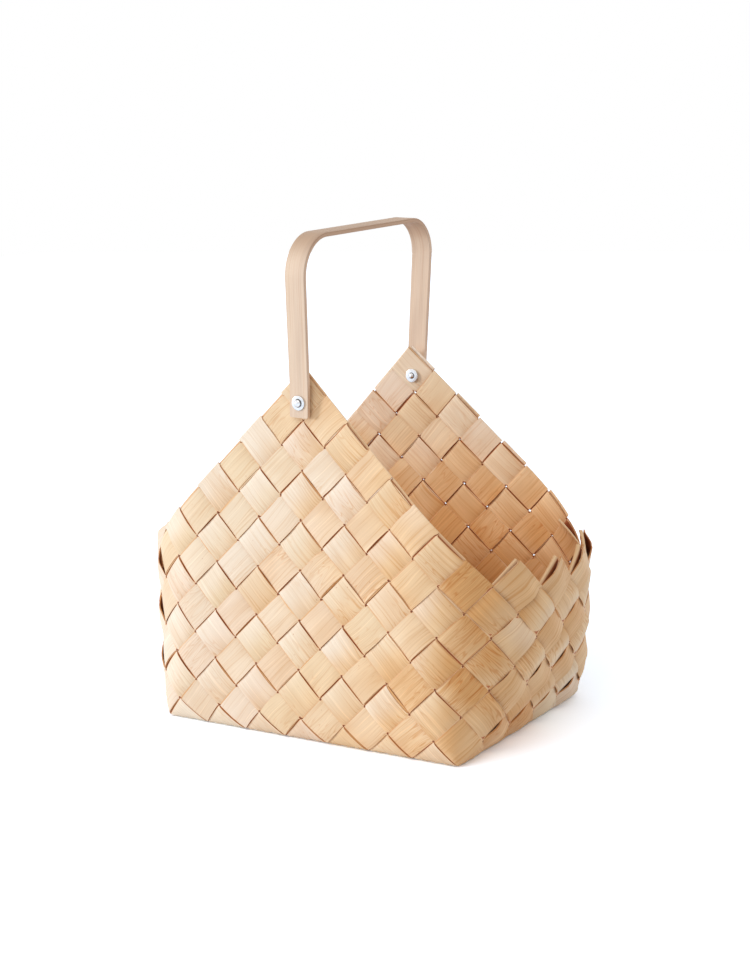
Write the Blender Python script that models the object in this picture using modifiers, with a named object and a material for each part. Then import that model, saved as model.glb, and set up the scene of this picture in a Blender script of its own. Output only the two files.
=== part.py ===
"""Mushroom foraging basket, plaited on the bias from birch splints, with a bentwood handle.

Twelve warp splints and twelve weft splints run at 45 degrees to the edges of the base, over one
and under one, up the walls and round the corners to a stepped rim. Each splint is a doubled strip
of veneer, folded over at the rim. The handle turns on one rivet at each peak.

Metres, +Z up. X runs along the basket, the front is at -Y, and the base stands on Z = 0.
"""
import math

import bmesh
import bpy
from mathutils import Vector

# Splints
SPLINT_WIDTH = 0.0277
SPLINT_THICKNESS = 0.0012
LAYER_GAP = 0.0003
FOLD_GAP = 0.0004
RIM_PROUD = 0.0015

# The plait, counted in steps of half a crossing from the middle of the base
LONG_STEPS = 7
DEEP_STEPS = 5
END_STEPS = 7
PEAK_STEPS = 14

# Swell of the walls above the base's edges
END_SWELL = 0.0647
END_REACH = 0.0997
SIDE_SWELL = 0.0151
SIDE_REACH = 0.0232
SIDE_LEAN_SHARE = 0.116
CORNER_RADIUS = 0.0985
CORNER_REACH = 0.0624
CLIMB_SHARE = 0.987

# Rivets and washers
SHANK_RADIUS = 0.0020
HEAD_RADIUS = 0.0034
HEAD_HEIGHT = 0.0022
TAIL_RADIUS = 0.0026
TAIL_HEIGHT = 0.0011
WASHER_RADIUS = 0.0062
WASHER_THICKNESS = 0.0009
SPACER_THICKNESS = 0.0015
WASHER_EDGE = 0.0002
BORE_CLEARANCE = 0.0003
RIVET_DROP = 0.0050

# Handle
HANDLE_WIDTH = 0.0194
FOOT_WIDTH = 0.0184
HANDLE_THICKNESS = 0.0038
HANDLE_TOP = 0.4330
BAR_RISE = 0.0063
HANDLE_SPLAY = 0.0080
HANDLE_BEND = 0.0320
HANDLE_LEAN = math.radians(3)
FOOT_LENGTH = 0.0125
FOOT_STRAIGHT = 0.0100
FOOT_CORNER = 0.0012
HANDLE_EDGE = 0.0005

# Fineness of the round forms
SHARP_ANGLE = math.radians(25)
MERGE_DISTANCE = 0.00001
NOSE_SEGMENTS = 4
TURNED_SEGMENTS = 24
DOME_SEGMENTS = 5
BEND_SEGMENTS = 12
CORNER_SEGMENTS = 3

# Worked out from the sizes above
SLOT = math.sqrt(2) * (SPLINT_THICKNESS + FOLD_GAP)
PITCH = SPLINT_WIDTH + SLOT
STEP = PITCH / math.sqrt(2)
CORNER_OFFSET = SPLINT_WIDTH / math.sqrt(2)
LAYER_HEIGHT = (SPLINT_THICKNESS + LAYER_GAP) / 2
WALL_HALF = LAYER_HEIGHT + SPLINT_THICKNESS / 2
HALF_LONG = LONG_STEPS * STEP
HALF_DEEP = DEEP_STEPS * STEP
QUARTER = HALF_LONG + HALF_DEEP
PEAK_UP = PEAK_STEPS * STEP
END_UP = END_STEPS * STEP
BORE_RADIUS = SHANK_RADIUS + BORE_CLEARANCE
INSIDE = Vector((0, 0, PEAK_UP / 2))

SIDES = {"west": Vector((-1, 0)), "east": Vector((1, 0)), "south": Vector((0, -1)), "north": Vector((0, 1))}
BIRCH_TONES = {
    "birch_cream": (0.79, 0.62, 0.41),
    "birch_pale": (0.83, 0.68, 0.50),
    "birch_rose": (0.78, 0.56, 0.40),
    "birch_honey": (0.74, 0.52, 0.29),
}


def clear_scene():
    for old in list(bpy.data.objects):
        bpy.data.objects.remove(old, do_unlink=True)


def new_collection(name):
    collection = bpy.data.collections.new(name)
    bpy.context.scene.collection.children.link(collection)
    return collection


def material(name, colour, roughness, metallic=0.0):
    made = bpy.data.materials.get(name) or bpy.data.materials.new(name)
    made.use_nodes = True
    shader = made.node_tree.nodes["Principled BSDF"]
    shader.inputs["Base Color"].default_value = (*colour, 1.0)
    shader.inputs["Roughness"].default_value = roughness
    shader.inputs["Metallic"].default_value = metallic
    return made


def birch(number):
    names = list(BIRCH_TONES)
    name = names[number % len(names)]
    return material(name, BIRCH_TONES[name], 0.6)


def bent_birch():
    return material("bent_birch", (0.72, 0.53, 0.39), 0.5)


def steel():
    return material("rivet_steel", (0.72, 0.72, 0.73), 0.2, metallic=1.0)


def add_object(name, bm, collection, made_of):
    mesh = bpy.data.meshes.new(name)
    bm.to_mesh(mesh)
    bm.free()
    mesh.materials.append(made_of)
    mesh.shade_smooth()
    mesh.set_sharp_from_angle(angle=SHARP_ANGLE)
    made = bpy.data.objects.new(name, mesh)
    collection.objects.link(made)
    return made


def cut(piece, cutter):
    boolean = piece.modifiers.new("cut", "BOOLEAN")
    boolean.operation = "DIFFERENCE"
    boolean.solver = "EXACT"
    boolean.object = cutter


# The wall's shape


def rise(up, reach):
    """Share of a swell that is reached at a distance up the wall."""
    return 1 - math.exp(-up / reach)


def wall_plan(around, up):
    """Plan of the wall: a rounded rectangle that swells as it climbs.

    The distance around runs from the middle of the front, to the right, and is negative to the left.
    """
    half_long = HALF_LONG + END_SWELL * rise(up, END_REACH)
    half_deep = HALF_DEEP + SIDE_SWELL * rise(up, SIDE_REACH) - SIDE_LEAN_SHARE * up
    radius = min(CORNER_RADIUS * rise(up, CORNER_REACH), half_deep, half_long)
    flat_long, flat_deep = half_long - radius, half_deep - radius
    arc = math.pi / 2 * radius
    around = math.remainder(around, 4 * QUARTER)
    reach = min(abs(around), 2 * QUARTER - abs(around))
    run = reach / QUARTER * (flat_long + arc + flat_deep)
    if run < flat_long:
        x, y = run, half_deep
    elif run < flat_long + arc:
        angle = (run - flat_long) / radius
        x, y = flat_long + radius * math.sin(angle), flat_deep + radius * math.cos(angle)
    else:
        x, y = half_long, flat_long + arc + flat_deep - run
    facing = -1 if abs(around) < QUARTER else 1
    return Vector((math.copysign(x, around), facing * y))


def around_and_up(x, y):
    """Distance around and up the wall of a point on the flat sheet that the plait is folded from."""
    over_end, over_side = abs(x) - HALF_LONG, abs(y) - HALF_DEEP
    if over_end > over_side:
        return math.copysign(1, x) * (QUARTER + y), over_end
    return (x if y < 0 else 2 * QUARTER - x), over_side


def wall_point(around, up):
    foot, here = wall_plan(around, 0), wall_plan(around, up)
    climb = math.sqrt(max(up ** 2 - (here - foot).length_squared, 0))
    return Vector((here.x, here.y, WALL_HALF + CLIMB_SHARE * climb))


def sheet_point(x, y):
    """Place on the basket, midway between its layers, of a point on the flat sheet."""
    around, up = around_and_up(x, y)
    if up < 0:
        return Vector((x, y, WALL_HALF))
    return wall_point(around, up)


# The plait


def in_basket(i, j):
    """Whether the sheet has a crossing at this address below the rim."""
    around, up = around_and_up(i * STEP, j * STEP)
    from_peak = abs(math.remainder(around, 2 * QUARTER))
    return up < END_UP + STEP / 2 or from_peak + up < PEAK_UP + STEP / 2


def folds_along_x(i, j):
    """Creases run up the walls, and along the base's edges where a crossing is folded over one."""
    over_end, over_side = abs(i) - LONG_STEPS, abs(j) - DEEP_STEPS
    if max(over_end, over_side) == 0:
        return over_side > over_end
    return over_end > over_side


def crossing(i, j):
    """The four corners of a crossing, each a point and the direction in which layers stack there."""
    middle = Vector((i, j)) * STEP
    points = {name: sheet_point(*(middle + side * CORNER_OFFSET)) for name, side in SIDES.items()}
    crease, flaps = ("west", "east"), ("south", "north")
    if not folds_along_x(i, j):
        crease, flaps = flaps, crease
    start, end = (points[name] for name in crease)
    stack = {}
    for flap in flaps:
        normal = (end - start).cross(points[flap] - start).normalized()
        stack[flap] = normal if normal.dot(start - INSIDE) > 0 else -normal
    first, second = stack.values()
    mitre = (first + second) / (1 + first.dot(second))
    stack.update({name: mitre for name in crease})
    return {name: (points[name], stack[name]) for name in SIDES}


def section(bm, left, right, height):
    """Four vertices across a splint: its outer pair, then its inner pair."""
    half = SPLINT_THICKNESS / 2
    corners = ((left, half), (right, half), (right, -half), (left, -half))
    return [bm.verts.new(point + out * (height + lift)) for (point, out), lift in corners]


def join_sections(bm, first, second, left_to_right):
    """Faces between two sections, with the broad ones split along the named diagonal."""
    for a, b in ((0, 1), (3, 2)):
        near_left, near_right, far_left, far_right = first[a], first[b], second[a], second[b]
        if left_to_right:
            bm.faces.new((near_left, near_right, far_right))
            bm.faces.new((near_left, far_right, far_left))
        else:
            bm.faces.new((near_left, near_right, far_left))
            bm.faces.new((near_right, far_right, far_left))
    for a, b in ((0, 3), (1, 2)):
        bm.faces.new((first[a], first[b], second[b], second[a]))


def folded_end(bm, last, left, right, height, ahead):
    """Round end where the doubled splint turns back on itself, a little proud of the rim."""
    half = SPLINT_THICKNESS / 2
    reach = SLOT / 2 + RIM_PROUD - half
    chains = []
    for (point, out), outer, inner in ((left, last[0], last[3]), (right, last[1], last[2])):
        chain = [outer]
        for k in range(NOSE_SEGMENTS + 1):
            angle = math.pi * k / NOSE_SEGMENTS
            place = point + ahead * (reach + half * math.sin(angle))
            chain.append(bm.verts.new(place + out * (height + half * math.cos(angle))))
        chains.append(chain + [inner])
    for chain in chains:
        bm.faces.new(chain)
    for k in range(len(chains[0]) - 1):
        bm.faces.new((chains[0][k], chains[0][k + 1], chains[1][k + 1], chains[1][k]))


def splint_path(offset, is_warp):
    """Addresses of the crossings along one splint, from rim to rim."""
    turn = 1 if is_warp else -1
    span = range(-LONG_STEPS - DEEP_STEPS - 2 * PEAK_STEPS, LONG_STEPS + DEEP_STEPS + 2 * PEAK_STEPS)
    return [(offset + n, turn * n) for n in span if in_basket(offset + n, turn * n)]


def splint(name, offset, is_warp, collection, made_of):
    """One splint, lofted over and under those that it crosses."""
    enter, leave = (("west", "south"), ("north", "east")) if is_warp else (("north", "west"), ("east", "south"))
    path = splint_path(offset, is_warp)
    bm = bmesh.new()
    previous = None
    for i, j in path:
        corners = crossing(i, j)
        outside = (j % 2 == 1) == is_warp
        height = LAYER_HEIGHT if outside else -LAYER_HEIGHT
        near = section(bm, corners[enter[0]], corners[enter[1]], height)
        far = section(bm, corners[leave[0]], corners[leave[1]], height)
        ahead = (corners[leave[0]][0] - corners[enter[0]][0]).normalized()
        if previous is None:
            folded_end(bm, near, corners[enter[0]], corners[enter[1]], height, -ahead)
        else:
            join_sections(bm, previous, near, True)
        join_sections(bm, near, far, folds_along_x(i, j) == is_warp)
        previous = far
    folded_end(bm, far, corners[leave[0]], corners[leave[1]], height, ahead)
    bmesh.ops.recalc_face_normals(bm, faces=bm.faces)
    return add_object(name, bm, collection, made_of)


def plait(collection, bore):
    """Both sets of splints, with a hole where a rivet passes through a peak."""
    offsets = range(1 - LONG_STEPS - DEEP_STEPS, LONG_STEPS + DEEP_STEPS, 2)
    for is_warp in (True, False):
        for number, offset in enumerate(offsets, start=1):
            name = f"{'warp' if is_warp else 'weft'}_splint_{number:02d}"
            made = splint(name, offset, is_warp, collection, birch(number + is_warp))
            if any(is_peak(i, j) for i, j in splint_path(offset, is_warp)):
                cut(made, bore)


def is_peak(i, j):
    return around_and_up(i * STEP, j * STEP)[1] > PEAK_UP - STEP / 2


# Rivets and washers


def rivet_seat():
    """Height of the rivets, and how far out the wall's faces reach under a washer there."""
    middle = wall_point(0, PEAK_UP - RIVET_DROP)
    below = wall_point(0, PEAK_UP - RIVET_DROP - STEP)
    lean = (middle.y - below.y) / (middle.z - below.z)
    spread = WALL_HALF * math.sqrt(1 + lean ** 2) + WASHER_RADIUS * lean + LAYER_GAP
    return middle.z, -middle.y - spread, -middle.y + spread


RIVET_HEIGHT, SEAT_INNER, SEAT_OUTER = rivet_seat()
FOOT_INNER = SEAT_OUTER + SPACER_THICKNESS + LAYER_GAP
FOOT_OUTER = FOOT_INNER + HANDLE_THICKNESS
CAP_SEAT = FOOT_OUTER + LAYER_GAP + WASHER_THICKNESS + LAYER_GAP
TAIL_SEAT = SEAT_INNER - WASHER_THICKNESS - LAYER_GAP


def turned(name, profile, closed, facing, collection):
    """A turned piece on the rivets' axis; heights in its profile are distances out from the middle."""
    bm = bmesh.new()
    verts = [bm.verts.new((radius, 0, height)) for radius, height in profile]
    pairs = list(zip(verts, verts[1:])) + ([(verts[-1], verts[0])] if closed else [])
    for pair in pairs:
        bm.edges.new(pair)
    made = add_object(name, bm, collection, steel())
    made.location = (0, 0, RIVET_HEIGHT)
    made.rotation_euler = (-facing * math.pi / 2, 0, 0)
    screw = made.modifiers.new("turn", "SCREW")
    screw.steps = screw.render_steps = TURNED_SEGMENTS
    screw.use_merge_vertices = True
    screw.merge_threshold = MERGE_DISTANCE
    screw.use_smooth_shade = True
    return made


def rivet(name, facing, collection):
    """Domed head outside, shank through handle and wall, and a tail spread over its washer."""
    profile = []
    for k in range(DOME_SEGMENTS + 1):
        angle = math.pi / 2 * k / DOME_SEGMENTS
        profile.append((HEAD_RADIUS * math.sin(angle), CAP_SEAT + HEAD_HEIGHT * math.cos(angle)))
    profile += [(SHANK_RADIUS, CAP_SEAT), (SHANK_RADIUS, TAIL_SEAT), (TAIL_RADIUS, TAIL_SEAT)]
    for k in range(1, DOME_SEGMENTS + 1):
        angle = math.pi / 2 * k / DOME_SEGMENTS
        profile.append((TAIL_RADIUS * math.cos(angle), TAIL_SEAT - TAIL_HEIGHT * math.sin(angle)))
    return turned(name, profile, False, facing, collection)


def washer(name, low, thickness, facing, collection):
    """A flat ring with its outer edges eased."""
    high = low + thickness
    profile = (
        (BORE_RADIUS, high),
        (WASHER_RADIUS - WASHER_EDGE, high),
        (WASHER_RADIUS, high - WASHER_EDGE),
        (WASHER_RADIUS, low + WASHER_EDGE),
        (WASHER_RADIUS - WASHER_EDGE, low),
        (BORE_RADIUS, low),
    )
    return turned(name, profile, True, facing, collection)


def fastenings(collection):
    for place, facing in (("front", -1), ("back", 1)):
        rivet(f"rivet_{place}", facing, collection)
        washer(f"cap_washer_{place}", FOOT_OUTER + LAYER_GAP, WASHER_THICKNESS, facing, collection)
        washer(f"spacer_{place}", SEAT_OUTER, SPACER_THICKNESS, facing, collection)
        washer(f"inner_washer_{place}", SEAT_INNER - WASHER_THICKNESS, WASHER_THICKNESS, facing, collection)


def bore_cutter(collection):
    """One long rod along the rivets' axis, which drills the handle and the peaks."""
    bpy.ops.mesh.primitive_cylinder_add(vertices=TURNED_SEGMENTS, radius=BORE_RADIUS, depth=4 * FOOT_OUTER)
    cutter = bpy.context.object
    cutter.name = "rivet_bore"
    for owner in list(cutter.users_collection):
        owner.objects.unlink(cutter)
    collection.objects.link(cutter)
    cutter.location = (0, 0, RIVET_HEIGHT)
    cutter.rotation_euler = (math.pi / 2, 0, 0)
    cutter.hide_render = True
    cutter.display_type = "WIRE"
    return cutter


# Handle


def handle_outline():
    """Inner face of the handle from the front foot to the back one, as (y, z) from the rivets' axis.

    The bar rises a little from the front to the back.
    """
    back_top = HANDLE_TOP - HANDLE_THICKNESS - RIVET_HEIGHT
    front_top = back_top - BAR_RISE
    corner = FOOT_INNER + HANDLE_SPLAY
    front = [(-FOOT_INNER, -FOOT_LENGTH), (-FOOT_INNER, FOOT_STRAIGHT), (-corner, front_top)]
    back = [(corner, back_top), (FOOT_INNER, FOOT_STRAIGHT), (FOOT_INNER, -FOOT_LENGTH)]
    return front + back


def handle(collection, bore):
    """A flat strip, bent to a hoop: a ribbon along the outline, thickened outwards.

    It narrows a little to its feet, and stands a little off upright, held by the rivets' friction.
    """
    bm = bmesh.new()
    rows = []
    for y, z in handle_outline():
        half = (FOOT_WIDTH if z <= FOOT_STRAIGHT else HANDLE_WIDTH) / 2
        rows.append([bm.verts.new((x, y, z)) for x in (-half, half)])
    for (left, right), (next_left, next_right) in zip(rows, rows[1:]):
        bm.faces.new((left, right, next_right, next_left))
    corners = [bm.edges.get(row) for row in (rows[2], rows[3])]
    bmesh.ops.bevel(bm, geom=corners, offset=HANDLE_BEND, segments=BEND_SEGMENTS, profile=0.5, affect="EDGES")
    feet = [vert for vert in bm.verts if len(vert.link_edges) == 2]
    bmesh.ops.bevel(bm, geom=feet, offset=FOOT_CORNER, segments=CORNER_SEGMENTS, profile=0.5, affect="VERTICES")
    made = add_object("handle", bm, collection, bent_birch())
    made.location = (0, 0, RIVET_HEIGHT)
    made.rotation_euler = (0, HANDLE_LEAN, 0)
    solidify = made.modifiers.new("thickness", "SOLIDIFY")
    solidify.thickness = HANDLE_THICKNESS
    solidify.offset = 1
    solidify.use_even_offset = True
    easing = made.modifiers.new("eased_edges", "BEVEL")
    easing.width = HANDLE_EDGE
    easing.segments = 1
    easing.limit_method = "ANGLE"
    easing.angle_limit = SHARP_ANGLE
    cut(made, bore)
    return made


def build():
    clear_scene()
    basket = new_collection("mushroom_basket")
    tools = new_collection("cutters")
    bore = bore_cutter(tools)
    plait(basket, bore)
    fastenings(basket)
    handle(basket, bore)


build()
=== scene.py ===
"""Looks of the mushroom foraging basket: veneer splints, bentwood handle, polished rivets.

Each splint is one strip of veneer that runs from rim to rim on the outside of its path, folds over,
and runs back on the inside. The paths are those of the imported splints, and the strips get what real
veneer has: they bulge a little between crossings, their two runs slip sideways, and their ends at
the low rims lean in and open.
"""

import math

import bmesh
import bpy
import numpy as np
from mathutils import Matrix, Vector


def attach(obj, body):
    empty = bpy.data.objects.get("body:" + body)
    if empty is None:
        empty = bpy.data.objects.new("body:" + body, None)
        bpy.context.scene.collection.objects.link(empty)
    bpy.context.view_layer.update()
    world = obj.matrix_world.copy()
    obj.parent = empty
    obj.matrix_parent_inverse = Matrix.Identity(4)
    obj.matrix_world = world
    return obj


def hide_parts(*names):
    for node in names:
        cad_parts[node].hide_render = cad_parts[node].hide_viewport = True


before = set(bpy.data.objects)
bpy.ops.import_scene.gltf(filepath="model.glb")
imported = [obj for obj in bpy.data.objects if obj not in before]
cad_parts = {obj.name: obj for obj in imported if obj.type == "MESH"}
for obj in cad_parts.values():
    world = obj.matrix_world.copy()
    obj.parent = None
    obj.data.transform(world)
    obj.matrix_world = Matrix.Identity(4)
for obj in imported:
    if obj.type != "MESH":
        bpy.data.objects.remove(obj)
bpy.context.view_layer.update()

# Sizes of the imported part, in metres
SPLINT_WIDTH = 0.0277
SPLINT_THICKNESS = 0.0012
LAYER_GAP = 0.0003
FOLD_GAP = 0.0004
RIM_PROUD = 0.0015
LONG_STEPS = 7
DEEP_STEPS = 5
END_STEPS = 7
PEAK_STEPS = 14
END_SWELL = 0.0647
END_REACH = 0.0997
SIDE_SWELL = 0.0151
SIDE_REACH = 0.0232
SIDE_LEAN_SHARE = 0.116
CORNER_RADIUS = 0.0985
CORNER_REACH = 0.0624
CLIMB_SHARE = 0.987

SHANK_RADIUS = 0.0020
HEAD_RADIUS = 0.0034
HEAD_HEIGHT = 0.0022
TAIL_RADIUS = 0.0026
TAIL_HEIGHT = 0.0011
WASHER_RADIUS = 0.0062
WASHER_THICKNESS = 0.0009
SPACER_THICKNESS = 0.0015
BORE_CLEARANCE = 0.0003
RIVET_DROP = 0.0050

HANDLE_WIDTH = 0.0194
FOOT_WIDTH = 0.0184
HANDLE_THICKNESS = 0.0038
HANDLE_TOP = 0.4330
BAR_RISE = 0.0063
HANDLE_SPLAY = 0.0080
HANDLE_BEND = 0.0320
HANDLE_LEAN = math.radians(3)
FOOT_LENGTH = 0.0125
FOOT_STRAIGHT = 0.0100
FOOT_CORNER = 0.0012

# Worked out from them, as in the part's source
SLOT = math.sqrt(2) * (SPLINT_THICKNESS + FOLD_GAP)
PITCH = SPLINT_WIDTH + SLOT
STEP = PITCH / math.sqrt(2)
LAYER_HEIGHT = (SPLINT_THICKNESS + LAYER_GAP) / 2
WALL_HALF = LAYER_HEIGHT + SPLINT_THICKNESS / 2
HALF_LONG = LONG_STEPS * STEP
HALF_DEEP = DEEP_STEPS * STEP
QUARTER = HALF_LONG + HALF_DEEP
PEAK_UP = PEAK_STEPS * STEP
END_UP = END_STEPS * STEP
INSIDE = np.array((0, 0, PEAK_UP / 2))

# A millimetre in metres, and the bend from which an edge is shaded sharp
MM = 0.001
SHARP_ANGLE = math.radians(40)

# The veneer that the splints are folded from
VENEER = 0.00046
PLY_GAP = 0.00010
PLY_OFFSET = (VENEER + PLY_GAP) / 2
STRIP_WIDTH = 0.0286
FOLD_ROUNDING = 0.0026
FOLD_REACH = 0.0011
LOWEST = 0.00005

# How it lies: lengths in metres, and shares of the way from one crossing to the next
DIVE_SHARE = 0.17
TUCK_SHARE = 0.03
SIDE_BULGE = (0.0001, 0.0005)
END_BULGE = (0.0011, 0.0024)
FOOT_BULGE_SHARE = 0.35
SIDE_SKEW = 0.4
END_SKEW = (0.3, 1.1)
BULGE_TILT = 0.3
DRIFT = 0.00022
SIDE_LIFT = (0.0001, 0.0005)
END_LIFT = (0.0006, 0.0013)
BACK_LIFT = (0.0003, 0.0011)
CORNER_FLARE = 0.0008
FLARE_START = 0.455
FLARE_SHARE = 0.03
SLIP = 0.00055
SLIP_LIMIT = 0.00105
SPARE_WIDTH = 0.00012
RIM_LEAN = (0.0005, 0.0042)
WEST_LEAN = (0.0055, 0.0095)
BACK_CORNER_LEAN = 0.0040
BACK_CORNER_START = 0.5
RIM_OPENING = (0.0005, 0.0022)
SLIM_OPENING = (0.0001, 0.0003)
OPENING_SPREAD = 0.6
OUTER_FOLD_PROUD = 0.0008
LEAN_START_SHARE = 0.2

# Tones of the veneer: -1 is whitish, 0 is pale, 1 is tan and 2 is amber; painted shade and light except the
# cell and weft tones
END_SHADE_TONE = 1.00
END_SIDE_SHADE_TONE = 0.90
END_FACING_START = 0.05
END_FACING_SPAN = 0.75
WEST_LIGHT_TONE = -0.35
EAST_SHADE_TONE = 0.6
WEFT_TONE = 0.2
CELL_END_SHADE = 0.85
END_SHADE_MIDDLE = 0.4
CELL_TONE = 0.20
PALEST = -0.6
WARMEST = (1.7, 2.0)
INNER_TOP_LIGHT_TONE = -0.7
INNER_FOOT_SHADE_TONE = 1.6
INNER_EAST_SHADE_TONE = 0.15
INNER_CELL_TONE = 0.35
INNER_SHADE_DEPTH_SHARE = 0.5
INNER_SHADE_CURVE = 1.2

# Painted shade of covered veneer, where 0 is bare, 1 is covered and 2 is a deep corner, and where it begins
FOLD_SHADE = 0.6
SLIVER = 0.05
BETWEEN_PLIES = 0.45
GAPING_SHADE = 0.9
DEEP_CORNER = 2
CORNER_START = 0.45
PRESSED_END = 0.47

# Fineness of the strips, and where each set's random seeds begin
BEFORE_MIDDLE = (-0.5, -0.49, -0.475, -0.44, -0.38, -0.3, -0.16)
CELL_STATIONS = (*BEFORE_MIDDLE, 0.0, 0.16, 0.3, 0.38, 0.44, 0.475, 0.49)
COLUMNS = np.array((-1.0, -0.94, -0.89, -0.5, 0.0, 0.5, 0.89, 0.94, 1.0))
MARGIN = 0.92
NOSE_STATIONS = 6
NEARLY_ONE_STEP = 1.001
WARP_SEEDS = 100
WEFT_SEEDS = 200


# Surface that the plait follows


def rise(up, reach):
    """Share of its full swell that a wall has at a distance up it."""
    return 1 - np.exp(-up / reach)


def wall_plan(around, up):
    """Plan of the wall at a distance around and up it, as arrays of x and y."""
    half_long = HALF_LONG + END_SWELL * rise(up, END_REACH)
    half_deep = HALF_DEEP + SIDE_SWELL * rise(up, SIDE_REACH) - SIDE_LEAN_SHARE * up
    radius = np.minimum(CORNER_RADIUS * rise(up, CORNER_REACH), np.minimum(half_deep, half_long))
    flat_long, flat_deep = half_long - radius, half_deep - radius
    arc = math.pi / 2 * radius
    around = np.mod(around + 2 * QUARTER, 4 * QUARTER) - 2 * QUARTER
    reach = np.minimum(np.abs(around), 2 * QUARTER - np.abs(around))
    run = reach / QUARTER * (flat_long + arc + flat_deep)
    turn = np.clip((run - flat_long) / np.maximum(radius, FOLD_ROUNDING * MM), 0, math.pi / 2)
    x = np.minimum(run, flat_long) + radius * np.sin(turn)
    y = flat_deep + radius * np.cos(turn) - np.maximum(run - flat_long - arc, 0)
    return np.copysign(x, around), np.where(np.abs(around) < QUARTER, -y, y)


def sheet_point(x, y, on_end):
    """Place on the basket of points on the flat sheet that the plait is folded from."""
    up = np.where(on_end, np.abs(x) - HALF_LONG, np.abs(y) - HALF_DEEP)
    around = np.where(on_end, np.copysign(1.0, x) * (QUARTER + y), np.where(y < 0, x, 2 * QUARTER - x))
    on_wall = up > 0
    up = np.maximum(up, 0)
    foot_x, foot_y = wall_plan(around, 0 * up)
    here_x, here_y = wall_plan(around, up)
    climb = np.sqrt(np.maximum(up ** 2 - (here_x - foot_x) ** 2 - (here_y - foot_y) ** 2, 0))
    place = np.stack((here_x, here_y, WALL_HALF + CLIMB_SHARE * climb), axis=-1)
    flat = np.stack((x, y, WALL_HALF + 0 * x), axis=-1)
    return np.where(on_wall[..., None], place, flat)


def rounded_point(x, y, on_end):
    """The same, with every crease eased to a small round."""
    weights = (1, 4, 6, 4, 1)
    middle = len(weights) // 2
    total = 0
    for a, weight_x in enumerate(weights):
        for b, weight_y in enumerate(weights):
            dx, dy = ((k - middle) / middle * FOLD_ROUNDING for k in (a, b))
            total = total + weight_x * weight_y * sheet_point(x + dx, y + dy, on_end)
    return total / sum(weights) ** 2


def over_an_end(i, j):
    """Whether an address on the sheet is nearer an end wall than the front or the back."""
    return abs(i) - LONG_STEPS > abs(j) - DEEP_STEPS


def around_and_up(i, j):
    """Distances around and up the wall of an address on the sheet."""
    if over_an_end(i, j):
        return math.copysign(1, i) * (QUARTER + j * STEP), (abs(i) - LONG_STEPS) * STEP
    return (i * STEP if j < 0 else 2 * QUARTER - i * STEP), (abs(j) - DEEP_STEPS) * STEP


def on_an_end(i, j):
    """Whether an address is on an end wall, once the sheet is folded up and wrapped round the corners."""
    return abs(math.remainder(around_and_up(i, j)[0], 2 * QUARTER)) > HALF_LONG


def in_basket(i, j):
    """Whether an address lies below the low rim or within a peak."""
    around, up = around_and_up(i, j)
    from_peak = abs(math.remainder(around, 2 * QUARTER))
    return up < END_UP + STEP / 2 or from_peak + up < PEAK_UP + STEP / 2


def splint_path(offset, turn):
    """Addresses of the crossings along one splint, from rim to rim."""
    span = range(-LONG_STEPS - DEEP_STEPS - 2 * PEAK_STEPS, LONG_STEPS + DEEP_STEPS + 2 * PEAK_STEPS)
    return [(offset + n, turn * n) for n in span if in_basket(offset + n, turn * n)]


# Splints


def unit(vectors):
    """The same directions, with length 1."""
    return vectors / np.maximum(np.linalg.norm(vectors, axis=-1, keepdims=True), MM ** 4)


def facing(places):
    """Normals of a grid of places, out of the basket."""
    along, across = np.gradient(places, axis=0), np.gradient(places, axis=1)
    normals = unit(np.cross(along, across))
    outward = np.sum(normals * (places - INSIDE), axis=-1).mean()
    return normals if outward > 0 else -normals


def smooth(share):
    """0 below 0, 1 above 1, and a soft step between."""
    share = np.clip(share, 0, 1)
    return share * share * (3 - 2 * share)


def at(values, t):
    """Smooth reading between the values for each crossing, of which one more stands before the first."""
    position = np.clip(t + 1, 0, len(values) - NEARLY_ONE_STEP)
    low = np.floor(position).astype(int)
    share = smooth(position - low)
    return values[low] * (1 - share) + values[low + 1] * share


def tone_and_shade(out, surface, which):
    """How warm the veneer is, as painted shade and light: warmer at the east end and towards its front
    corner, paler to the west and warmer to the east, and on the inside paler at the top and warmer towards
    the foot and the east.
    """
    if which == 0:
        end = smooth((out[..., 0] - END_FACING_START) / END_FACING_SPAN)
        side = WEST_LIGHT_TONE + (EAST_SHADE_TONE - WEST_LIGHT_TONE) * smooth(surface[..., 0] / HALF_LONG / 2 + 0.5)
        return end * (END_SHADE_TONE - END_SIDE_SHADE_TONE * surface[..., 1] / HALF_DEEP) + (1 - end) * side
    depth = np.clip((1 - surface[..., 2] / PEAK_UP) / INNER_SHADE_DEPTH_SHARE, 0, 1)
    east = smooth(surface[..., 0] / HALF_LONG / 2 + 0.5)
    foot = depth ** INNER_SHADE_CURVE
    return INNER_TOP_LIGHT_TONE + (INNER_FOOT_SHADE_TONE - INNER_TOP_LIGHT_TONE) * foot + INNER_EAST_SHADE_TONE * east


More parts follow.
